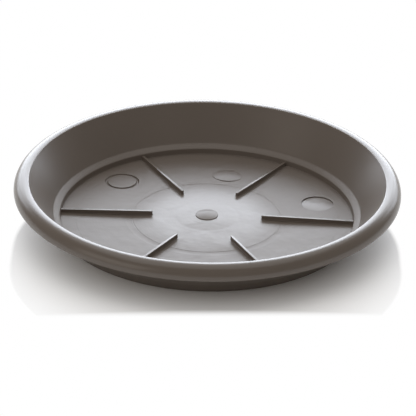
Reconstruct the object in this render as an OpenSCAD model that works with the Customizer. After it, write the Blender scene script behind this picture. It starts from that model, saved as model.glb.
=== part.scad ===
// Round plant saucer: a rolled rim, a sloping side wall, a narrow ledge above a short step, and a floor that
// rises to its middle, with radial ribs, a gate boss and three round mould marks.
// The real saucer is one moulding. It is drawn here as its named regions, which meet face to face.
// Millimetres, +Z up. The origin is on the ground, under the middle of the saucer, and rib 1 lies along +X.

/* [Rim] */
// Outer radius of the saucer, at the rim's lip
rim_r = 150; // [140:1:175]
// Height of the rim's crest above the ground
rim_h = 36.5; // [30:0.5:50]
// Radius of the roll, from the crest over to the lip
roll_r = 11; // [8:0.5:14]
// Thickness of the rolled rim
rim_t = 2.2; // [1.6:0.1:3]
// Drop from the crest to the lowest point of the lip
lip_drop = 10.5; // [8:0.5:13]
// Rounding of the crest's inner edge
crest_fillet = 1.2; // [0.6:0.1:2]

/* [Side wall] */
// Thickness of the side wall
wall_t = 2.6; // [2:0.1:3.4]
// Width of the side, from the rim's lip in to the crease where the wall meets the ledge
side_w = 30.7; // [27:0.1:36]
// Height of that crease above the ground
crease_h = 8.8; // [7:0.1:12]

/* [Ledge and step] */
// Width of the ledge
ledge_w = 5.1; // [3:0.1:7]
// Fall of the ledge, from the crease to its inner edge
ledge_fall = 2.2; // [0.5:0.1:3]
// How far the step leans in, from the ledge down to the floor
step_draft = 0.4; // [0.2:0.1:1]
// Width of the foot's flat base, outside the step
foot_w = 2.6; // [1.6:0.1:4]

/* [Floor] */
// Height of the floor's top above the ground, at the step
floor_edge_h = 2.2; // [2:0.1:3]
// Thickness of the floor
floor_t = 2; // [1.4:0.1:2]
// Radius of the floor's raised middle
crown_r = 57.5; // [50:0.5:62]
// Rise of the floor from the step in to the raised middle
floor_rise = 0.6; // [0.2:0.1:1.2]
// Further rise of the raised middle, up to the boss
floor_crown = 2.2; // [0.8:0.1:2.8]

/* [Ribs] */
// Number of ribs
rib_count = 6; // [3:1:8]
// Radius at which a rib's inner end stands
rib_in_r = 42.5; // [30:0.5:60]
// Thickness of a rib
rib_w = 2; // [1.4:0.1:3]
// Height of a rib above the floor at its inner end
rib_in_h = 3.2; // [2.5:0.1:6]
// Height of a rib above the floor at the step
rib_out_h = 3; // [2:0.1:4]

/* [Gate boss] */
// Radius of the boss
boss_r = 8.8; // [6:0.1:14]
// Height of the boss above the floor, at its top
boss_h = 1.4; // [1:0.1:3]
// Height of the boss's upright edge
boss_edge_h = 0.4; // [0.3:0.1:0.8]

/* [Mould marks] */
// Radius of a mould mark
mark_r = 13.6; // [8:0.1:15]
// Distance of the two sunk marks' middles from the step
sunk_mark_in = 22.8; // [17:0.1:30]
// Distance of the raised mark's middle from the step
raised_mark_in = 36.8; // [18:0.1:45]
// Depth of the sunk marks
mark_depth = 0.6; // [0.3:0.1:1]
// Height of the raised mark
mark_rise = 0.5; // [0.2:0.1:1]
// Turn from rib 1 to the first mark, in degrees
mark_turn = 21; // [15:0.5:40]

/* [Hidden] */
// Turn from one mark to the next, in degrees
mark_step = 60;
// Steps along a drawn arc
arc_steps = 20;
// Steps round the axis
$fn = 180;
// Colour of the moulded plastic
taupe = [0.46, 0.44, 0.42];

// Roll and lip: centre of the roll, lip's angle on it, and the lip's rounded end
mid_r = roll_r - rim_t / 2;
under_r = roll_r - rim_t;
lip_turn = asin((roll_r - lip_drop + rim_t / 2) / mid_r);
crest_r = rim_r - mid_r * cos(lip_turn) - rim_t / 2;
roll_centre = [crest_r, rim_h - roll_r];
lip_centre = roll_centre + mid_r * [cos(lip_turn), sin(lip_turn)];

// Side wall: it leaves the crease and touches the crest's inner rounding
crease_r = rim_r - side_w;
crease = [crease_r, crease_h];
fillet_centre = [crest_r, rim_h - crest_fillet];
to_fillet = fillet_centre - crease;
wall_lean = atan2(to_fillet.y, to_fillet.x) + asin(crest_fillet / norm(to_fillet));
wall_run = [cos(wall_lean), sin(wall_lean)];
wall_out = [sin(wall_lean), -cos(wall_lean)];
wall_top = fillet_centre - crest_fillet * wall_out;
wall_top_back = wall_top + wall_t * wall_out;
crease_back = crease + wall_t * wall_out;

// Where the wall's outer face runs into the hollow under the roll
from_roll = wall_top_back - roll_centre;
along_wall = from_roll * wall_run;
root_run = along_wall - sqrt(along_wall * along_wall - from_roll * from_roll + under_r * under_r);
under_root = wall_top_back - root_run * wall_run;
root_turn = atan2(under_root.y - roll_centre.y, under_root.x - roll_centre.x);

// Ledge, step, foot and floor
ledge_r = crease_r - ledge_w;
ledge_h = crease_h - ledge_fall;
floor_r = ledge_r - step_draft;
foot_r = floor_r + foot_w;
crown_h = floor_edge_h + floor_rise;
floor_mid_h = crown_h + floor_crown;

// Mould marks' distances from the axis
sunk_mark_r = floor_r - sunk_mark_in;
raised_mark_r = floor_r - raised_mark_in;

// Points along an arc about a centre, from one angle to another
function arc(centre, r, from, to) =
    [for (i = [0 : arc_steps]) let (a = from + (to - from) * i / arc_steps) centre + r * [cos(a), sin(a)]];

// Height of the floor's top at a distance from the axis
function floor_top(r) = r > crown_r
    ? crown_h - floor_rise * (r - crown_r) / (floor_r - crown_r)
    : floor_mid_h - floor_crown * max(r - boss_r, 0) / (crown_r - boss_r);

// A solid of revolution from its half section
module turned(section) {
    color(taupe) rotate_extrude() polygon(section);
}

// The open space over the floor and inside the step, which trims the ribs
module dish_space() {
    rotate_extrude() polygon([
        [0, floor_mid_h],
        [boss_r, floor_mid_h],
        [crown_r, crown_h],
        [floor_r, floor_edge_h],
        [ledge_r, ledge_h],
        [ledge_r, rim_h],
        [0, rim_h]
    ]);
}

// One round mould mark's place on the floor: its turn, its distance from the axis and its lift off the floor
module at_mark(turn, r, lift) {
    rotate(turn) translate([r, 0, floor_top(r) + lift]) children();
}

module floor_panel() {
    color(taupe) difference() {
        union() {
            turned([
                [0, floor_mid_h - floor_t],
                [boss_r, floor_mid_h - floor_t],
                [crown_r, crown_h - floor_t],
                [floor_r, floor_edge_h - floor_t],
                [floor_r, floor_edge_h],
                [crown_r, crown_h],
                [boss_r, floor_mid_h],
                [0, floor_mid_h]
            ]);
            at_mark(mark_turn + mark_step, raised_mark_r, -floor_t / 2)
                cylinder(h = floor_t / 2 + mark_rise, r = mark_r);
        }
        at_mark(mark_turn, sunk_mark_r, -mark_depth)
            cylinder(h = floor_t, r = mark_r);
        at_mark(mark_turn + 2 * mark_step, sunk_mark_r, -mark_depth)
            cylinder(h = floor_t, r = mark_r);
    }
}

module foot_ring() {
    turned([
        [floor_r, 0],
        [foot_r, 0],
        crease_back,
        crease,
        [ledge_r, ledge_h],
        [floor_r, floor_edge_h]
    ]);
}

module side_wall() {
    turned([crease, crease_back, wall_top_back, wall_top]);
}

module rolled_rim() {
    turned(concat(
        arc(roll_centre, roll_r, 90, lip_turn),
        arc(lip_centre, rim_t / 2, lip_turn, lip_turn - 180),
        arc(roll_centre, under_r, lip_turn, root_turn),
        [wall_top_back],
        arc(fillet_centre, crest_fillet, wall_lean + 90, 90)
    ));
}

module rib(i) {
    rib_rise = (rib_out_h + floor_edge_h - rib_in_h - floor_top(rib_in_r)) / (floor_r - rib_in_r);
    rib_in_top = floor_top(rib_in_r) + rib_in_h;
    color(taupe) rotate((i - 1) * 360 / rib_count) intersection() {
        rotate([90, 0, 0]) linear_extrude(rib_w, center = true) polygon([
            [rib_in_r, 0],
            [crease_r, 0],
            [crease_r, rib_in_top + rib_rise * (crease_r - rib_in_r)],
            [rib_in_r, rib_in_top]
        ]);
        dish_space();
    }
}

module gate_boss() {
    dome_rise = boss_h - boss_edge_h;
    dome_r = (boss_r * boss_r + dome_rise * dome_rise) / (2 * dome_rise);
    dome_centre = [0, floor_mid_h + boss_h - dome_r];
    edge_turn = acos(boss_r / dome_r);
    turned(concat(
        [[0, floor_mid_h], [boss_r, floor_mid_h]],
        arc(dome_centre, dome_r, edge_turn, 90)
    ));
}

floor_panel();
foot_ring();
side_wall();
rolled_rim();
gate_boss();
for (i = [1 : rib_count]) rib(i);
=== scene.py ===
"""Looks of a round plant saucer, moulded in one shot from satin taupe-grey plastic.

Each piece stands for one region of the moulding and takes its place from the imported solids.
Lengths are metres, +Z is up and the saucer's axis is the Z axis.
"""

import logging
import math
from abc import ABC, abstractmethod
from collections.abc import Callable
from dataclasses import dataclass, field, replace
from enum import Enum

import bpy
from mathutils import Matrix, Vector


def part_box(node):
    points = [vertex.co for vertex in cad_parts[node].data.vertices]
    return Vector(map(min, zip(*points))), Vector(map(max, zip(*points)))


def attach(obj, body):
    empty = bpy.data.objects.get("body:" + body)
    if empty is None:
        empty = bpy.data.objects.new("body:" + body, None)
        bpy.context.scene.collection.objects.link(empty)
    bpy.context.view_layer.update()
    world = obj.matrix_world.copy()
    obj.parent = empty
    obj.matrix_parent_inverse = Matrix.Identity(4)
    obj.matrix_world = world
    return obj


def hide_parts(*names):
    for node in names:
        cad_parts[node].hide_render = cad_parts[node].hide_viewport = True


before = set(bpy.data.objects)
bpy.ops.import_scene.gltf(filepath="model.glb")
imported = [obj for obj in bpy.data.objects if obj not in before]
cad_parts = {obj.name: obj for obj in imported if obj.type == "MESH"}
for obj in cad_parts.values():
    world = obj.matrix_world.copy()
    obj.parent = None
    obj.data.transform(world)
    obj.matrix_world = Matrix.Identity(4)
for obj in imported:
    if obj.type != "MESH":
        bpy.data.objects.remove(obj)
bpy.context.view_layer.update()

LOG = logging.getLogger("plant_saucer")
BODY = "root"
MM = 0.001
# Steps of a piece turned round the saucer's axis
TURN_STEPS = 288
# Steps of a large arc and of a small one in a half section
ARC_STEPS = 28
SMALL_ARC_STEPS = 12
# Steps of an eased corner
EASE_STEPS = 6
# Steps of a fine ridge and of the ledge
RIDGE_STEPS = 16
LEDGE_STEPS = 6
# Two vertices closer than this are one
WELD = 0.002 * MM
# Edges bent more than this stay crisp
CRISP = math.radians(32)

Colour = tuple[float, float, float]
Span = tuple[float, float]
Signal = bpy.types.NodeSocket | float
COOL: Colour = (0.94, 1.0, 1.09)
WARM: Colour = (1.05, 0.98, 0.90)
WHITE: Colour = (1.0, 1.0, 1.0)


def point(r: float, z: float) -> Vector:
    """Returns a half-section point: its radius and its height."""
    return Vector((r, z))


def node_points(node: str) -> list[Vector]:
    """Returns the radius and height of each vertex of a CAD node."""
    return [point(math.hypot(v.co.x, v.co.y), v.co.z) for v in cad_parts[node].data.vertices]


def deselect_all() -> None:
    """Leaves object mode with nothing selected."""
    if bpy.context.mode != "OBJECT":
        bpy.ops.object.mode_set(mode="OBJECT")
    bpy.ops.object.select_all(action="DESELECT")


def select_only(piece: bpy.types.Object) -> None:
    """Makes a piece the only selected object, and the active one.

    Args:
        piece: The piece.
    """
    deselect_all()
    piece.select_set(True)
    bpy.context.view_layer.objects.active = piece


def select_vertices(piece: bpy.types.Object, test: Callable[[Vector], bool]) -> None:
    """Selects a piece's vertices by their place and stays in edit mode.

    Args:
        piece: The active piece.
        test: Says whether the vertex at a place is selected.
    """
    bpy.ops.object.mode_set(mode="EDIT")
    bpy.ops.mesh.select_mode(type="VERT")
    bpy.ops.mesh.select_all(action="DESELECT")
    bpy.ops.object.mode_set(mode="OBJECT")
    for vertex in piece.data.vertices:
        vertex.select = test(vertex.co)
    bpy.ops.object.mode_set(mode="EDIT")


def select_faces(piece: bpy.types.Object, test: Callable[[bpy.types.MeshPolygon], bool]) -> None:
    """Selects a piece's faces by their place or normal and stays in edit mode.

    Args:
        piece: The active piece.
        test: Says whether a face is selected.
    """
    bpy.ops.object.mode_set(mode="EDIT")
    bpy.ops.mesh.select_mode(type="FACE")
    bpy.ops.mesh.select_all(action="DESELECT")
    bpy.ops.object.mode_set(mode="OBJECT")
    for face in piece.data.polygons:
        face.select = test(face)
    bpy.ops.object.mode_set(mode="EDIT")


def apply_place(piece: bpy.types.Object) -> None:
    """Moves a piece's place, turn and scale into its mesh.

    Args:
        piece: The piece.
    """
    select_only(piece)
    bpy.ops.object.transform_apply(location=True, rotation=True, scale=True)


def remove(piece: bpy.types.Object) -> None:
    """Deletes a helper object."""
    select_only(piece)
    bpy.ops.object.delete()


def weld(piece: bpy.types.Object, crisp: float = CRISP) -> None:
    """Merges doubles, turns the faces outwards and shades a piece smooth.

    Args:
        piece: The piece to finish.
        crisp: Edges bent more than this angle stay crisp.
    """
    select_only(piece)
    bpy.ops.object.mode_set(mode="EDIT")
    bpy.ops.mesh.select_all(action="SELECT")
    bpy.ops.mesh.remove_doubles(threshold=WELD)
    bpy.ops.mesh.dissolve_degenerate(threshold=WELD)
    bpy.ops.mesh.select_all(action="SELECT")
    bpy.ops.mesh.normals_make_consistent(inside=False)
    bpy.ops.object.mode_set(mode="OBJECT")
    bpy.ops.object.shade_smooth_by_angle(angle=crisp)


class Outline:
    """A half section drawn in edit mode from point to point, then turned round the Z axis."""

    SEED = 1 * MM

    def __init__(self, name: str, start: Vector) -> None:
        """Starts a piece as one vertex.

        Args:
            name: The piece's name.
            start: The half section's first point.
        """
        deselect_all()
        bpy.ops.mesh.primitive_plane_add(size=self.SEED, location=(start.x, 0, start.y))
        self.piece = bpy.context.active_object
        self.piece.name = name
        self.piece.data.name = name
        apply_place(self.piece)
        bpy.ops.object.mode_set(mode="EDIT")
        bpy.ops.mesh.select_mode(type="VERT")
        bpy.ops.mesh.select_all(action="SELECT")
        bpy.ops.mesh.merge(type="CENTER")
        self.start = start
        self.last = start

    def line(self, *points: Vector) -> "Outline":
        """Draws straight lines through the points.

        Args:
            *points: The points, in order.

        Returns:
            The outline itself.
        """
        for end in points:
            step = end - self.last
            bpy.ops.mesh.extrude_region_move(TRANSFORM_OT_translate={"value": (step.x, 0, step.y)})
            self.last = end
        return self

    def arc(self, centre: Vector, turn: float, steps: int = ARC_STEPS) -> "Outline":
        """Draws an arc from the last point.

        Args:
            centre: The arc's centre.
            turn: How far it goes round, anticlockwise with the radius to the right, in radians.
            steps: Number of chords.

        Returns:
            The outline itself.
        """
        bpy.ops.mesh.spin(steps=steps, angle=turn, center=(centre.x, 0, centre.y), axis=(0, 1, 0))
        self.last = centre + Matrix.Rotation(turn, 2) @ (self.last - centre)
        return self

    def close(self) -> "Outline":
        """Joins the last point to the first one.

        Returns:
            The outline itself.
        """
        self._pick(self.start, self.last)
        bpy.ops.mesh.edge_face_add()
        return self

    def ease(self, corner: Vector, setback: float) -> "Outline":
        """Rounds a corner.

        Args:
            corner: The corner's point.
            setback: Distance from the corner at which the rounding starts, along both lines.

        Returns:
            The outline itself.
        """
        self._pick(corner)
        bpy.ops.mesh.bevel(offset=setback, segments=EASE_STEPS, affect="VERTICES")
        return self

    def turned(self, steps: int = TURN_STEPS) -> bpy.types.Object:
        """Turns the section once round the Z axis.

        Args:
            steps: Steps round the axis.

        Returns:
            The closed piece, at the origin.
        """
        bpy.ops.mesh.select_all(action="SELECT")
        bpy.ops.mesh.spin(steps=steps, angle=math.tau, center=(0, 0, 0), axis=(0, 0, 1))
        weld(self.piece)
        return self.piece

    def _pick(self, *points: Vector) -> None:
        """Selects the vertices at some half-section points."""
        places = [Vector((p.x, 0, p.y)) for p in points]
        select_vertices(self.piece, lambda co: any((co - place).length < WELD for place in places))


def ridge(outline: Outline, end: Vector, rise: float, steps: int = RIDGE_STEPS) -> Outline:
    """Draws a low rounded ridge or hollow inwards from the outline's last point.

    Args:
        outline: The outline, whose last point is the ridge's outer foot.
        end: The ridge's inner foot.
        rise: Its height over the line between its feet, less than zero for a hollow.
        steps: Number of chords.

    Returns:
        The outline itself.
    """
    half = (outline.last - end) / 2
    ridge_r = (half.length_squared + rise**2) / (2 * rise)
    up = point(-half.y, half.x).normalized()
    turn = 2 * math.asin(half.length / ridge_r)
    return outline.arc(end + half + (rise - ridge_r) * up, turn, steps)


def crown(outline: Outline, top: float) -> Outline:
    """Draws a dome from the outline's last point to the axis.

    Args:
        outline: The outline, whose last point is the dome's edge.
        top: Height of the dome's top.

    Returns:
        The outline itself.
    """
    edge, rise = outline.last.x, top - outline.last.y
    dome_r = (edge**2 + rise**2) / (2 * rise)
    return outline.arc(point(0, top - dome_r), math.asin(edge / dome_r))


@dataclass(frozen=True)
class HalfSection:
    """Key points of the saucer's half section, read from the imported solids."""

    crest: Vector
    rim_r: float
    lip_low: float
    wall_top: Vector
    wall_top_back: Vector
    crease: Vector
    crease_back: Vector
    ledge: Vector
    floor_edge: Vector
    foot_r: float
    boss_r: float
    boss_top: float
    floor_mid: float
    crown: Vector

    # Radius of the floor's raised middle
    CROWN_R = 57.5 * MM
    # Width of the wall's lowest band, which is modelled with the foot ring
    BAND = 1.6 * MM

    @classmethod
    def read(cls) -> "HalfSection":
        """Reads the points from the CAD nodes.

        Returns:
            The section.
        """
        rim, wall, foot = (node_points(n) for n in ("rolled_rim", "side_wall", "foot_ring"))
        boss, floor = (node_points(n) for n in ("gate_boss", "floor_panel"))
        crease = min(wall, key=lambda p: p.x)
        floor_r = min(p.x for p in foot)
        inner = [p for p in foot if p.x < (crease.x + floor_r) / 2]
        return cls(
            crest=max(rim, key=lambda p: p.y),
            rim_r=max(p.x for p in rim),
            lip_low=min(p.y for p in rim),
            wall_top=max(wall, key=lambda p: p.y),
            wall_top_back=max(wall, key=lambda p: p.x),
            crease=crease,
            crease_back=min(wall, key=lambda p: p.y),
            ledge=max(inner, key=lambda p: p.y),
            floor_edge=point(floor_r, max(p.y for p in foot if p.x < floor_r + WELD)),
            foot_r=max(p.x for p in foot if p.y < WELD),
            boss_r=max(p.x for p in boss),
            boss_top=max(p.y for p in boss),
            floor_mid=min(p.y for p in boss),
            crown=max((p for p in floor if abs(p.x - cls.CROWN_R) < WELD), key=lambda p: p.y),
        )

    @property
    def wall_run(self) -> Vector:
        """Direction of the side wall, upwards."""
        return (self.wall_top - self.crease).normalized()

    @property
    def wall_out(self) -> Vector:
        """Direction through the side wall, from its inner face to its outer one."""
        return point(self.wall_run.y, -self.wall_run.x)

    @property
    def wall_through(self) -> Vector:
        """Step through the side wall, from its inner face to its outer one."""
        return self.wall_top_back - self.wall_top

    @property
    def band_top(self) -> Vector:
        """Point of the inner face where the foot ring ends and the side wall starts."""
        return self.crease + self.BAND * self.wall_run

    @property
    def band_top_back(self) -> Vector:
        """Point of the outer face where the foot ring ends and the side wall starts."""
        return self.crease_back + self.BAND * self.wall_run

    @property
    def floor_line(self) -> list[Vector]:
        """Points of the floor's top, from the boss to the step."""
        return [point(self.boss_r, self.floor_mid), self.crown, self.floor_edge]

    def floor_run(self, r: float) -> tuple[Vector, Vector]:
        """Returns the ends of the straight run of the floor's top at a distance from the axis."""
        line = self.floor_line
        return next((run for run in zip(line, line[1:]) if r < run[1].x), (line[-2], line[-1]))

    def floor_top(self, r: float) -> float:
        """Finds the height of the floor's top.

        Args:
            r: Distance from the axis.

        Returns:
            The height.
        """
        inner, outer = self.floor_run(r)
        share = max(r - inner.x, 0) / (outer.x - inner.x)
        return inner.y + share * (outer.y - inner.y)

    def floor_slope(self, r: float) -> float:
        """Returns the angle at which the floor falls outwards at a distance from the axis."""
        inner, outer = self.floor_run(r)
        return math.atan2(inner.y - outer.y, outer.x - inner.x)


class Graph:
    """A small wrapper that adds and links shader nodes."""

    def __init__(self, tree: bpy.types.NodeTree) -> None:
        """Empties a node tree and keeps it."""
        self.tree = tree
        tree.nodes.clear()

    def add(
        self, kind: str, inputs: dict[str | int, object] | None = None, **settings: object
    ) -> bpy.types.Node:
        """Adds a node.

        Args:
            kind: The node's Blender type.
            inputs: Its sockets' values, or the sockets that feed them, by name or number.
            **settings: Its own properties.

        Returns:
            The node.
        """
        node = self.tree.nodes.new(kind)
        for key, value in settings.items():
            setattr(node, key, value)
        for key, value in (inputs or {}).items():
            if isinstance(value, bpy.types.NodeSocket):
                self.tree.links.new(value, node.inputs[key])
            else:
                node.inputs[key].default_value = value
        return node

    def place(self) -> bpy.types.NodeSocket:
        """Adds the piece's Object coordinates and returns them."""
        return self.add("ShaderNodeTexCoord").outputs["Object"]

    def combine(self, operation: str, *numbers: Signal) -> bpy.types.NodeSocket:
        """Adds a calculation and returns its result."""
        node = self.add("ShaderNodeMath", dict(enumerate(numbers)), operation=operation)
        return node.outputs["Value"]

    def measure(self, operation: str, *vectors: object) -> bpy.types.NodeSocket:
        """Adds a length, distance or dot product and returns its result."""
        node = self.add("ShaderNodeVectorMath", dict(enumerate(vectors)), operation=operation)
        return node.outputs["Value"]

    def fade(self, value: Signal, ends: Span, results: Span = (0.0, 1.0)) -> bpy.types.NodeSocket:
        """Adds a soft step from one number to another.

        Args:
            value: What drives the step.
            ends: The values at which it starts and ends.
            results: The numbers before it and after it.

        Returns:
            The number.
        """
        inputs = {"Value": value, "From Min": ends[0], "From Max": ends[1]}
        inputs |= {"To Min": results[0], "To Max": results[1]}
        return self.add("ShaderNodeMapRange", inputs, interpolation_type="SMOOTHSTEP").outputs["Result"]


@dataclass(frozen=True)
class Polish:
    """A round spot where the mould is polished, so that the plastic takes a clear gloss.

    Attributes:
        middle: The spot's middle, seen from above.
        fade: Distances from the middle between which the gloss fades out.
        weight: Share of the gloss at the middle.
    """

    middle: tuple[float, float]
    fade: Span
    weight: float


@dataclass(frozen=True)
class MouldedPlastic:
    """Satin plastic that carries the mould's turning marks and a slow drift of tone.

    Attributes:
        name: The material's name.
        roughness: Mean roughness.
        colour: Mean colour, linear.
        polish: Spots with a clear gloss.
        turning_depth: Depth of the turning marks.
        turning_pitch: Distance between turning marks.
        wave_depth: Depth of the slow waves in the surface.
    """

    name: str
    roughness: float
    colour: Colour = (0.140, 0.116, 0.098)
    polish: tuple[Polish, ...] = ()
    turning_depth: float = 0.008 * MM
    turning_pitch: float = 1.6 * MM
    wave_depth: float = 0.0

    IOR = 1.5
    GLOSS_ROUGHNESS = 0.22
    TONE_PLAY = 0.05
    ROUGHNESS_PLAY = 0.01
    NOISE_DETAIL = 2.0
    DRIFT_SCALE = 24.0
    WAVE_SCALE = 55.0
    GRAIN_SCALE = 900.0
    GRAIN_DEPTH = 0.002 * MM

    def material(self) -> bpy.types.Material:
        """Builds the material's nodes.

        Returns:
            The material.
        """
        made = bpy.data.materials.new(self.name)
        made.use_nodes = True
        graph = Graph(made.node_tree)
        place = graph.place()
        level = graph.add("ShaderNodeVectorMath", {0: place, 1: (1, 1, 0)}, operation="MULTIPLY")
        flat = level.outputs["Vector"]
        drift = self._noise(graph, place, self.DRIFT_SCALE)
        tone = graph.add(
            "ShaderNodeMix",
            {"Factor": drift, "A": self._toned(1 - self.TONE_PLAY), "B": self._toned(1 + self.TONE_PLAY)},
            data_type="RGBA",
        )
        worn = graph.add(
            "ShaderNodeMapRange",
            {
                "Value": drift,
                "To Min": self.roughness - self.ROUGHNESS_PLAY,
                "To Max": self.roughness + self.ROUGHNESS_PLAY,
            },
        )
        relief = self._relief(graph, place, graph.measure("LENGTH", flat))
        inputs = {
            "Base Color": tone.outputs["Result"],
            "Roughness": worn.outputs["Result"],
            "IOR": self.IOR,
            "Normal": relief,
        }
        if self.polish:
            inputs["Coat Weight"] = self._gloss(graph, flat)
            inputs["Coat Roughness"] = self.GLOSS_ROUGHNESS
            inputs["Coat Normal"] = relief
        shader = graph.add("ShaderNodeBsdfPrincipled", inputs)
        graph.add("ShaderNodeOutputMaterial", {"Surface": shader.outputs["BSDF"]})
        return made

    def _toned(self, share: float) -> tuple[float, float, float, float]:
        """Returns the colour, darker or lighter by a share."""
        return (*(share * c for c in self.colour), 1.0)

    def _noise(self, graph: Graph, where: bpy.types.NodeSocket, scale: float) -> bpy.types.NodeSocket:
        """Adds soft noise of a scale and returns it."""
        inputs = {"Vector": where, "Scale": scale, "Detail": self.NOISE_DETAIL}
        return graph.add("ShaderNodeTexNoise", inputs).outputs["Fac"]

    def _gloss(self, graph: Graph, flat: bpy.types.NodeSocket) -> Signal:
        """Adds the clear gloss of the polished spots.

        Args:
            graph: The material's nodes.
            flat: Place seen from above.

        Returns:
            The share of gloss.
        """
        gloss: Signal = 0.0
        for spot in self.polish:
            away = graph.measure("DISTANCE", flat, (*spot.middle, 0))
            gloss = graph.combine("MAXIMUM", graph.fade(away, spot.fade, (spot.weight, 0.0)), gloss)
        return gloss

    def _relief(
        self, graph: Graph, place: bpy.types.NodeSocket, reach: bpy.types.NodeSocket
    ) -> bpy.types.NodeSocket:
        """Adds marks that run round the saucer's axis, slow waves and the mould's fine grain, as relief.

        Args:
            graph: The material's nodes.
            place: Object coordinates.
            reach: Distance from the saucer's axis.

        Returns:
            The bumped normal.
        """
        height = graph.add("ShaderNodeSeparateXYZ", {"Vector": place}).outputs["Z"]
        section = graph.add("ShaderNodeCombineXYZ", {"X": reach, "Y": height}).outputs["Vector"]
        layers = (
            (section, 1 / self.turning_pitch, self.turning_depth),
            (place, self.WAVE_SCALE, self.wave_depth),
            (place, self.GRAIN_SCALE, self.GRAIN_DEPTH),
        )
        relief: Signal = 0.0
        for where, scale, depth in layers:
            relief = graph.combine("MULTIPLY_ADD", self._noise(graph, where, scale), depth, relief)
        return graph.add("ShaderNodeBump", {"Height": relief, "Distance": 1.0}).outputs["Normal"]


GLOSSY = MouldedPlastic("glossy_plastic", roughness=0.24)
SMOOTH = MouldedPlastic("smooth_plastic", roughness=0.35)
SATIN = MouldedPlastic("satin_plastic", roughness=0.5)
MATT = MouldedPlastic("matt_plastic", roughness=0.42)
TURNED = MouldedPlastic("turned_plastic", roughness=0.43, turning_depth=0.04 * MM, wave_depth=0.6 * MM)


def finish_piece(piece: bpy.types.Object, finish: bpy.types.Material, node: str) -> None:
    """Gives a piece its finish and its body, and hides the CAD node that it stands for.

    Args:
        piece: The finished piece.
        finish: Its material.
        node: The CAD node.
    """
    piece.data.materials.clear()
    piece.data.materials.append(finish)
    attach(piece, BODY)
    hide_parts(node)
    LOG.info("%s: %d faces, for node %s", piece.name, len(piece.data.polygons), node)


class Region(ABC):
    """One region of the moulding, which stands for the CAD node of its name."""

    NODE: str

    @abstractmethod
    def build(self) -> bpy.types.Object:
        """Models the region and returns it."""

    def dress(self, finish: bpy.types.Material) -> None:
        """Builds the region and gives it its finish."""
        finish_piece(self.build(), finish, self.NODE)


@dataclass(frozen=True)
class Crest:
    """The top of the rim: a rounding that leaves the side wall, then a land that leads over to the roll.

    Attributes:
        section: The saucer's half section.
        lift: How far the rim's top lies above the solid's.
        land_r: Radius of the land, which is nearly flat.
        land_tilt: How far the land tilts inwards at its inner end, in degrees.
        edge_r: Radius of the rounding between the wall and the land.
    """

    section: HalfSection
    lift: float = 0.2 * MM
    land_r: float = 12 * MM
    land_tilt: float = 11
    edge_r: float = 1.0 * MM

    @property
    def land_turn(self) -> float:
        """Angle of the land's arc."""
        return math.radians(self.land_tilt)

    @property
    def _land_way(self) -> Vector:
        """Direction that the land faces at its inner end."""
        return point(-math.sin(self.land_turn), math.cos(self.land_turn))

    @property
    def top(self) -> Vector:
        """Point where the land ends and the roll starts."""
        s = self.section
        height = s.crest.y + self.lift
        in_step = self._to_wall
        wall_x = s.wall_top.x + (height + in_step.y - s.wall_top.y) * s.wall_run.x / s.wall_run.y
        return point(wall_x - in_step.x, height)

    @property
    def _to_wall(self) -> Vector:
        """Step from the rim's top to the wall's inner face."""
        way = self._land_way
        return self.land_r * (way - point(0, 1)) - self.edge_r * (way + self.section.wall_out)

    @property
    def wall_end(self) -> Vector:
        """Point where the wall's inner face ends."""
        return self.top + self._to_wall

    @property
    def wall_end_back(self) -> Vector:
        """Point where the wall's outer face ends."""
        return self.wall_end + self.section.wall_through

    @property
    def edge_centre(self) -> Vector:
        """Centre of the rounding between the wall and the land."""
        return self.wall_end + self.edge_r * self.section.wall_out

    @property
    def edge_turn(self) -> float:
        """Angle of that rounding."""
        return (-self.section.wall_out).angle(self._land_way)

    @property
    def roll_r(self) -> float:
        """Radius of the rim's roll."""
        return self.section.rim_r - self.top.x

    @property
    def roll_centre(self) -> Vector:
        """Centre of the rim's roll."""
        return self.top - point(0, self.roll_r)


@dataclass
class RolledRim(Region):
    """The crest and the lip that rolls over from it, hollow underneath."""

    crest: Crest
    thickness: float = 2.2 * MM

    NODE = "rolled_rim"

    def build(self) -> bpy.types.Object:
        """Models the rim.

        Returns:
            The piece.
        """
        crest = self.crest
        centre, wall_back = crest.roll_centre, crest.wall_end_back
        mid_r = crest.roll_r - self.thickness / 2
        under_r = crest.roll_r - self.thickness
        lip_turn = math.asin((crest.section.lip_low + self.thickness / 2 - centre.y) / mid_r)
        lip_way = point(math.cos(lip_turn), math.sin(lip_turn))
        root_turn = math.pi / 2 - math.asin((wall_back.x - centre.x) / under_r)
        rim = Outline(self.NODE, crest.wall_end)
        rim.arc(crest.edge_centre, -crest.edge_turn, SMALL_ARC_STEPS)
        rim.arc(crest.top - point(0, crest.land_r), -crest.land_turn, SMALL_ARC_STEPS)
        rim.arc(centre, lip_turn - math.pi / 2)
        rim.arc(centre + mid_r * lip_way, -math.pi, SMALL_ARC_STEPS)
        rim.arc(centre, root_turn - lip_turn)
        rim.line(wall_back)
        return rim.close().turned()


@dataclass
class SideWall(Region):
    """The sloping wall, from just above the crease to the rim."""

    crest: Crest

    NODE = "side_wall"

    def build(self) -> bpy.types.Object:
        """Models the wall.

        Returns:
            The piece.
        """
        s = self.crest.section
        wall = Outline(self.NODE, s.band_top)
        wall.line(s.band_top_back, self.crest.wall_end_back, self.crest.wall_end)
        return wall.close().turned()


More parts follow.
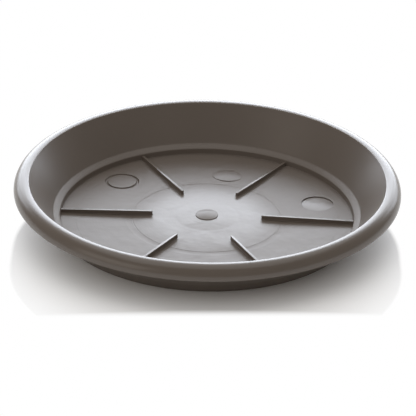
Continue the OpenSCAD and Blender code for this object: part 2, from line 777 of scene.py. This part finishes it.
@dataclass
class FootRing(Region):
    """The ring that stands on the ground, with the step and the ledge inside it."""

    section: HalfSection
    floor_fillet: float = 0.6 * MM
    crease_ease: float = 0.7 * MM
    ledge_ease: float = 0.5 * MM
    ledge_swell: float = 0.3 * MM
    foot_ease: float = 0.5 * MM

    NODE = "foot_ring"
    # Share of the strip beside the step that its fillet takes
    FILLET_SHARE = 0.95

    def build(self) -> bpy.types.Object:
        """Models the ring.

        Returns:
            The piece.
        """
        s = self.section
        inner_r = s.floor_edge.x - self.floor_fillet
        on_floor = point(inner_r, s.floor_top(inner_r))
        foot_in, foot_out = point(inner_r, 0), point(s.foot_r, 0)
        ring = Outline(self.NODE, s.band_top)
        ridge(ring.line(s.crease), s.ledge, self.ledge_swell, LEDGE_STEPS)
        ring.line(s.floor_edge, on_floor, foot_in, foot_out)
        ring.line(s.crease_back, s.band_top_back).close()
        ring.ease(s.crease, self.crease_ease).ease(s.ledge, self.ledge_ease)
        ring.ease(s.floor_edge, self.floor_fillet * self.FILLET_SHARE)
        ring.ease(foot_in, self.foot_ease).ease(foot_out, self.foot_ease)
        return ring.turned()


@dataclass
class GateBoss(Region):
    """The low domed button where the plastic was let into the mould."""

    section: HalfSection
    edge_h: float = 0.4 * MM
    edge_ease: float = 0.2 * MM
    seat: float = 0.5 * MM

    NODE = "gate_boss"

    def build(self) -> bpy.types.Object:
        """Models the boss.

        Returns:
            The piece.
        """
        s = self.section
        edge = point(s.boss_r, s.floor_mid + self.edge_h)
        seat = s.floor_mid - self.seat
        boss = Outline(self.NODE, point(0, seat)).line(point(s.boss_r, seat), edge)
        crown(boss, s.boss_top).ease(edge, self.edge_ease)
        return boss.turned()


class MarkForm(Enum):
    """Forms of the round marks that the mould leaves on the floor."""

    GROOVED = "disc with a fine groove round it"
    SUNK = "sunk disc with a crowned floor"
    RAISED = "raised pad with a crowned top"


@dataclass(frozen=True)
class MouldMark:
    """One round mark on the floor.

    Attributes:
        form: The mark's form.
        turn: Its bearing from the first rib, in degrees.
        inset: Distance of its middle from the step.
        depth: Depth of its groove or disc, or height of its pad.
        swell: Rise of its crowned face.
        r: Its radius.
        groove_w: Half the width of its groove, and the width over which its gloss fades out.
        tilt: How far its face leans out from the saucer's axis, in degrees.
        gloss: Share of clear gloss on its face.
    """

    form: MarkForm
    turn: float
    inset: float
    depth: float
    swell: float = 0.0
    r: float = 13.6 * MM
    groove_w: float = 1.25 * MM
    tilt: float = 0.0
    gloss: float = 0.0

    SEAT = 0.8 * MM
    STEPS = 96

    def _reach(self, section: HalfSection) -> float:
        """Returns the distance of the mark's middle from the saucer's axis."""
        return section.floor_edge.x - self.inset

    def polish(self, section: HalfSection) -> Polish:
        """Describes the polished spot on the mark's face.

        Args:
            section: The saucer's half section.

        Returns:
            The spot.
        """
        reach, turn = self._reach(section), math.radians(self.turn)
        middle = (reach * math.cos(turn), reach * math.sin(turn))
        return Polish(middle, (self.r - self.groove_w, self.r), self.gloss)

    def _tool(self) -> bpy.types.Object:
        """Models the solid that makes the mark, round the Z axis.

        Returns:
            The solid.
        """
        far = point(0, self.SEAT)
        side = point(self.r, 0)
        if self.form is MarkForm.GROOVED:
            inner = side - 2 * point(self.groove_w, 0)
            tool = Outline("mark_groove", side + far).line(side)
            ridge(tool, inner, -self.depth).line(inner + far).close()
        elif self.form is MarkForm.SUNK:
            tool = Outline("mark_hollow", far).line(side + far, side - point(0, self.depth))
            crown(tool, self.swell - self.depth)
        else:
            tool = Outline("mark_pad", -far).line(side - far, side + point(0, self.depth - self.swell))
            crown(tool, self.depth)
        return tool.turned(self.STEPS)

    def apply(self, floor: bpy.types.Object, section: HalfSection) -> None:
        """Joins the mark's solid to the floor, or cuts it out.

        Args:
            floor: The floor's piece.
            section: The saucer's half section.
        """
        tool = self._tool()
        reach = self._reach(section)
        lean = section.floor_slope(reach) + math.radians(self.tilt)
        place = Matrix.Rotation(math.radians(self.turn), 4, "Z")
        place @= Matrix.Translation((reach, 0, section.floor_top(reach)))
        tool.matrix_world = place @ Matrix.Rotation(lean, 4, "Y")
        apply_place(tool)
        select_only(floor)
        bpy.ops.object.modifier_add(type="BOOLEAN")
        joint = floor.modifiers[-1]
        joint.object = tool
        joint.operation = "UNION" if self.form is MarkForm.RAISED else "DIFFERENCE"
        joint.solver = "EXACT"
        bpy.ops.object.modifier_apply(modifier=joint.name)
        remove(tool)


@dataclass(frozen=True)
class WitnessRing:
    """A fine line that a joint in the mould leaves round the floor, raised or sunk.

    Attributes:
        r: Its radius.
        half_w: Half its width.
        rise: Its height, less than zero for a hollow.
    """

    r: float
    half_w: float
    rise: float

    def draw(self, floor: Outline, section: HalfSection) -> None:
        """Draws the line across the floor's half section, from its outer edge inwards."""
        outer, inner = (point(r, section.floor_top(r)) for r in (self.r + self.half_w, self.r - self.half_w))
        ridge(floor.line(outer), inner, self.rise)


@dataclass
class FloorPanel(Region):
    """The crowned floor with its witness rings and its mould marks."""

    section: HalfSection
    thickness: float = 2 * MM
    rings: tuple[WitnessRing, ...] = (
        WitnessRing(r=102 * MM, half_w=0.1 * MM, rise=-0.06 * MM),
        WitnessRing(r=61 * MM, half_w=2.5 * MM, rise=-0.09 * MM),
        WitnessRing(r=58.1 * MM, half_w=0.45 * MM, rise=-0.12 * MM),
        WitnessRing(r=24.5 * MM, half_w=2.0 * MM, rise=-0.03 * MM),
    )
    marks: tuple[MouldMark, ...] = (
        MouldMark(
            form=MarkForm.SUNK,
            turn=21,
            inset=22.8 * MM,
            depth=0.8 * MM,
            swell=0.5 * MM,
            r=12.5 * MM,
            gloss=0.35,
        ),
        MouldMark(
            form=MarkForm.RAISED,
            turn=81,
            inset=35.8 * MM,
            depth=0.9 * MM,
            swell=1.1 * MM,
            r=12.6 * MM,
            tilt=3.0,
            gloss=0.1,
        ),
        MouldMark(form=MarkForm.GROOVED, turn=141, inset=22.8 * MM, depth=1.2 * MM),
    )
    gate_polish: Polish = Polish(middle=(0.0, 0.0), fade=(32 * MM, 60 * MM), weight=0.34)

    NODE = "floor_panel"
    CRISP = math.radians(3)

    @property
    def polish(self) -> tuple[Polish, ...]:
        """The polished spots, round the gate and on the marks' faces."""
        return (self.gate_polish, *(mark.polish(self.section) for mark in self.marks if mark.gloss > 0))

    def build(self) -> bpy.types.Object:
        """Models the floor.

        Returns:
            The piece.
        """
        s = self.section
        down = point(0, -self.thickness)
        middle, seat = point(0, s.floor_mid), point(s.boss_r, s.floor_mid)
        floor = Outline(self.NODE, middle + down)
        floor.line(seat + down, s.crown + down, s.floor_edge + down, s.floor_edge)
        for ring in sorted(self.rings, key=lambda ring: -ring.r):
            if floor.last.x > s.crown.x > ring.r:
                floor.line(s.crown)
            ring.draw(floor, s)
        piece = floor.line(seat, middle).turned()
        for mark in self.marks:
            mark.apply(piece, s)
        weld(piece, self.CRISP)
        return piece


@dataclass
class Ribs:
    """The thin radial ribs that hold a pot clear of the water."""

    section: HalfSection
    count: int = field(default_factory=lambda: sum(n.startswith("rib_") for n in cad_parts))
    foot_fillet: float = 0.5 * MM
    top_ease: float = 0.12 * MM
    seat: float = 0.8 * MM
    draft: float = 0.97

    FILLET_STEPS = 4
    TOP_STEPS = 3
    # Faces whose normal rises more than this face upwards
    FACES_UP = 0.9

    def first(self) -> bpy.types.Object:
        """Models the first rib, along +X.

        Returns:
            The rib.
        """
        low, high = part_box("rib_1")
        corners = [v.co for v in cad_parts["rib_1"].data.vertices]
        in_top = max(c.z for c in corners if c.x < low.x + WELD)
        out_r = self.section.floor_edge.x + self.foot_fillet
        out_top = max(c.z for c in corners if c.x > self.section.floor_edge.x - WELD)
        out_foot = self.section.floor_top(out_r)
        rib = self._slab(low.x, out_r, high.y - low.y, out_foot)
        self._raise(rib, out_top - out_foot)
        half_way = (low.x + out_r) / 2
        foot_rise = self.section.floor_top(low.x) - out_foot
        self._lift(rib, lambda co: co.x < half_way, foot_rise)
        middle = (out_foot + out_top + foot_rise) / 2
        self._lift(rib, lambda co: co.x < half_way and co.z > middle, in_top - out_top - foot_rise)
        weld(rib)
        return rib

    def _slab(self, in_r: float, out_r: float, width: float, foot: float) -> bpy.types.Object:
        """Adds the rib's foot, sunk in the floor, a fillet wider than the rib all round.

        Args:
            in_r: Distance of the rib's inner end from the axis.
            out_r: Distance of its outer end.
            width: Its thickness.
            foot: Height of the floor under its outer end.

        Returns:
            The slab.
        """
        spread = 2 * self.foot_fillet
        deselect_all()
        bpy.ops.mesh.primitive_cube_add(size=1, location=((in_r + out_r) / 2, 0, foot - self.seat / 2))
        rib = bpy.context.active_object
        rib.name = rib.data.name = "rib_1_form"
        rib.scale = (out_r - in_r + spread, width + spread, self.seat)
        apply_place(rib)
        return rib

    def _raise(self, rib: bpy.types.Object, height: float) -> None:
        """Raises the rib from its slab: a hollow fillet, drafted sides and eased top edges.

        Args:
            rib: The slab.
            height: The rib's height.
        """
        select_faces(rib, lambda face: face.normal.z > self.FACES_UP)
        quarter = math.pi / 2 / self.FILLET_STEPS
        for step in range(self.FILLET_STEPS):
            start, end = step * quarter, (step + 1) * quarter
            bpy.ops.mesh.inset(
                thickness=self.foot_fillet * (math.sin(end) - math.sin(start)),
                depth=self.foot_fillet * (math.cos(start) - math.cos(end)),
            )
        bpy.ops.mesh.extrude_region_move(
            TRANSFORM_OT_translate={"value": (0, 0, height - self.foot_fillet)}
        )
        bpy.ops.transform.resize(value=(1, self.draft, 1))
        bpy.ops.mesh.bevel(offset=self.top_ease, segments=self.TOP_STEPS, affect="EDGES")

    def _lift(self, rib: bpy.types.Object, test: Callable[[Vector], bool], rise: float) -> None:
        """Moves some vertices upwards.

        Args:
            rib: The rib.
            test: Says whether the vertex at a place moves.
            rise: How far they move.
        """
        select_only(rib)
        select_vertices(rib, test)
        bpy.ops.transform.translate(value=(0, 0, rise))
        bpy.ops.object.mode_set(mode="OBJECT")

    def dress(self, finish: bpy.types.Material) -> None:
        """Builds the ribs and gives them their finish.

        Args:
            finish: Their material.
        """
        form = self.first()
        for number in range(1, self.count + 1):
            select_only(form)
            bpy.ops.object.duplicate(linked=False)
            rib = bpy.context.active_object
            rib.name = rib.data.name = f"rib_{number}_skin"
            rib.rotation_euler.z = (number - 1) * math.tau / self.count
            apply_place(rib)
            finish_piece(rib, finish, f"rib_{number}")
        remove(form)


@dataclass(frozen=True)
class Viewpoint:
    """The camera: a long lens that looks down on the saucer from the front.

    Attributes:
        bearing: Angle round the Z axis, from straight in front, in degrees.
        elevation: Angle above the horizon, in degrees.
        roll: Turn about the line of sight, in degrees.
        distance: Distance from the point aimed at.
        lens: Focal length, in millimetres on the sensor.
        aim: The point aimed at, with its first axis along the picture's width.
    """

    bearing: float = 2.81
    elevation: float = 26.96
    roll: float = 1.13
    distance: float = 2.6547
    lens: float = 295.56
    aim: tuple[float, float, float] = (0.73 * MM, 0.17 * MM, 11.0 * MM)

    SENSOR = 36.0

    def build(self) -> None:
        """Adds the camera and makes it the scene's own."""
        round_axis = Matrix.Rotation(math.radians(self.bearing), 3, "Z")
        elevation, roll = math.radians(self.elevation), math.radians(self.roll)
        back = round_axis @ Vector((0, -math.cos(elevation), math.sin(elevation)))
        across = round_axis @ Vector((1, 0, 0))
        up = back.cross(across)
        right = math.cos(roll) * across + math.sin(roll) * up
        top = math.cos(roll) * up - math.sin(roll) * across
        data = bpy.data.cameras.new("camera")
        data.sensor_width = self.SENSOR
        data.lens = self.lens
        camera = bpy.data.objects.new("camera", data)
        stand = Matrix((right, top, back)).transposed().to_4x4()
        stand.translation = round_axis @ Vector(self.aim) + self.distance * back
        camera.matrix_world = stand
        bpy.context.scene.collection.objects.link(camera)
        bpy.context.scene.camera = camera


@dataclass(frozen=True)
class Panel:
    """A soft rectangular studio light that faces the saucer.

    Attributes:
        name: The light's name.
        place: Its middle, with +Y along the line of sight.
        size: Its width and height.
        radiance: Its brightness.
        colour: Its tint.
    """

    name: str
    place: tuple[float, float, float]
    size: tuple[float, float]
    radiance: float
    colour: Colour

    def build(self) -> None:
        """Adds the light."""
        width, height = self.size
        light = bpy.data.lights.new(self.name, "AREA")
        light.shape = "RECTANGLE"
        light.size, light.size_y = width, height
        light.energy = self.radiance * math.pi * width * height
        light.color = self.colour
        lamp = bpy.data.objects.new(self.name, light)
        lamp.location = Matrix.Rotation(math.radians(Viewpoint.bearing), 3, "Z") @ Vector(self.place)
        lamp.rotation_euler = (-lamp.location).to_track_quat("-Z", "Y").to_euler()
        lamp.visible_camera = False
        bpy.context.scene.collection.objects.link(lamp)


@dataclass(frozen=True)
class PaleGround:
    """A pale glossy table that turns white round the saucer's own shade and reflection; a painted glow also
    lifts that shade towards white away from the saucer.

    Attributes:
        half: Half the table's side.
        colour: Its colour, linear grey.
        roughness: Its roughness.
        middle: Middle of the saucer's shade.
        painted_shade_lift: Distances from that middle between which a painted glow lifts the saucer's shadow
            until the table is white.
        ahead: Distance of the reflection's middle in front of the saucer's axis.
        straight: Length of the reflection's straight sides, in front of that middle.
        side: Distances from the reflection's middle line between which the table turns white.
        front: Distances in front of the axis between which it turns white.
        slant: Turn of that front edge from square to the line of sight, in degrees.
    """

    half: float = 6.0
    colour: float = 0.95
    roughness: float = 0.6
    middle: tuple[float, float, float] = (3 * MM, 0.0, 0.0)
    # Painted light: between these distances a glow lifts the saucer's shadow towards white.
    painted_shade_lift: Span = (108 * MM, 238 * MM)
    ahead: float = 51 * MM
    straight: float = 25 * MM
    side: Span = (144.5 * MM, 150 * MM)
    front: Span = (140 * MM, 156 * MM)
    slant: float = 2.5

    IOR = 1.5
    # Turn from straight towards the lens to straight across, in degrees
    ACROSS = 90.0
    # Strength at which the table is white
    GLOW = 1.0

    def _along(self, graph: Graph, place: bpy.types.NodeSocket, turn: float) -> bpy.types.NodeSocket:
        """Adds the distance from the saucer's axis along a level direction.

        Args:
            graph: The material's nodes.
            place: Object coordinates.
            turn: Angle of the direction from straight towards the lens, in degrees.

        Returns:
            The distance.
        """
        way = math.radians(Viewpoint.bearing + turn)
        return graph.measure("DOT_PRODUCT", place, (math.sin(way), -math.cos(way), 0))

    def _from_reflection(self, graph: Graph, place: bpy.types.NodeSocket) -> bpy.types.NodeSocket:
        """Adds the distance from the straight line that the reflection lies round.

        Args:
            graph: The material's nodes.
            place: Object coordinates.

        Returns:
            The distance.
        """
        past = graph.combine("SUBTRACT", self._along(graph, place, 0), self.ahead)
        behind = graph.combine("MINIMUM", past, 0.0)
        outside = graph.combine("MAXIMUM", behind, graph.combine("SUBTRACT", past, self.straight))
        across = self._along(graph, place, self.ACROSS)
        aside = graph.add("ShaderNodeCombineXYZ", {"X": across, "Y": outside}).outputs["Vector"]
        return graph.measure("LENGTH", aside)

    def _white_and_painted_lift(self, graph: Graph) -> bpy.types.NodeSocket:
        """Adds the share of white glow, as the eye and the plastic's gloss see it: painted light that lifts
        the saucer's shadow with distance from its middle, and plain white past the reflection's sides and
        the front edge.

        Args:
            graph: The material's nodes.

        Returns:
            The share of white, with the painted lift of the shadow.
        """
        place = graph.place()
        # Painted light: a glow that grows with distance from the shade's middle and lifts the saucer's real
        # shadow towards white.
        white = graph.fade(graph.measure("DISTANCE", place, self.middle), self.painted_shade_lift)
        white = graph.combine("MAXIMUM", white, graph.fade(self._from_reflection(graph, place), self.side))
        ahead = self._along(graph, place, self.slant)
        white = graph.combine("MAXIMUM", white, graph.fade(ahead, self.front))
        path = graph.add("ShaderNodeLightPath").outputs
        rays = path["Is Camera Ray"]
        for kind in ("Is Glossy Ray", "Is Transmission Ray"):
            rays = graph.combine("MAXIMUM", rays, path[kind])
        return graph.combine("MULTIPLY", white, rays)

    def material(self) -> bpy.types.Material:
        """Builds the table's material.

        Returns:
            The material.
        """
        made = bpy.data.materials.new("ground")
        made.use_nodes = True
        graph = Graph(made.node_tree)
        table = graph.add(
            "ShaderNodeBsdfPrincipled",
            {
                "Base Color": (self.colour, self.colour, self.colour, 1.0),
                "Roughness": self.roughness,
                "IOR": self.IOR,
            },
        )
        glow = graph.add("ShaderNodeEmission", {"Color": (*WHITE, 1.0), "Strength": self.GLOW})
        shown = graph.add(
            "ShaderNodeMixShader",
            {0: self._white_and_painted_lift(graph), 1: table.outputs["BSDF"], 2: glow.outputs["Emission"]},
        )
        graph.add("ShaderNodeOutputMaterial", {"Surface": shown.outputs["Shader"]})
        made.cycles.emission_sampling = "NONE"
        return made

    def build(self) -> None:
        """Adds the table."""
        deselect_all()
        bpy.ops.mesh.primitive_plane_add(size=2 * self.half)
        ground = bpy.context.active_object
        ground.name = "ground"
        ground.data.materials.append(self.material())


@dataclass
class Studio:
    """The pale ground and the soft light."""

    ground: PaleGround = PaleGround()
    fill: float = 0.32
    panels: tuple[Panel, ...] = (
        Panel("back_core", place=(0.0, 1.49, 0.7), size=(1.1, 0.9), radiance=1.4, colour=COOL),
        Panel("back_main", place=(0.0, 1.5, 0.7), size=(1.9, 0.9), radiance=1.4, colour=COOL),
        Panel("back_wide", place=(0.0, 1.52, 0.53), size=(3.1, 0.86), radiance=2.6, colour=COOL),
        Panel("back_side", place=(0.0, 1.56, 0.4), size=(4.0, 0.8), radiance=0.4, colour=COOL),
        Panel("back_low", place=(0.0, 1.48, 0.12), size=(1.4, 0.24), radiance=3.5, colour=COOL),
        Panel("top_panel", place=(0.0, 0.25, 1.0), size=(1.2, 1.2), radiance=0.85, colour=WHITE),
        Panel("left_fill", place=(-1.64, -1.15, 0.9), size=(1.6, 1.2), radiance=0.8, colour=WARM),
    )

    def build(self) -> None:
        """Adds the ground, the lights and an even fill."""
        self.ground.build()
        world = bpy.data.worlds.new("studio")
        world.use_nodes = True
        graph = Graph(world.node_tree)
        fill = graph.add("ShaderNodeBackground", {"Color": (*WARM, 1.0), "Strength": self.fill})
        graph.add("ShaderNodeOutputWorld", {"Surface": fill.outputs["Background"]})
        bpy.context.scene.world = world
        for panel in self.panels:
            panel.build()
        bpy.context.scene.view_settings.view_transform = "Standard"


def main() -> None:
    """Builds the camera, the saucer's pieces in order, and the studio."""
    logging.basicConfig(level=logging.INFO, format="%(name)s: %(message)s")
    Viewpoint().build()
    section = HalfSection.read()
    crest = Crest(section)
    floor = FloorPanel(section)
    glossy = GLOSSY.material()
    RolledRim(crest).dress(glossy)
    SideWall(crest).dress(SMOOTH.material())
    FootRing(section).dress(SATIN.material())
    floor.dress(replace(TURNED, polish=floor.polish).material())
    GateBoss(section).dress(MATT.material())
    Ribs(section).dress(glossy)
    Studio().build()


if __name__ == "__main__":
    main()
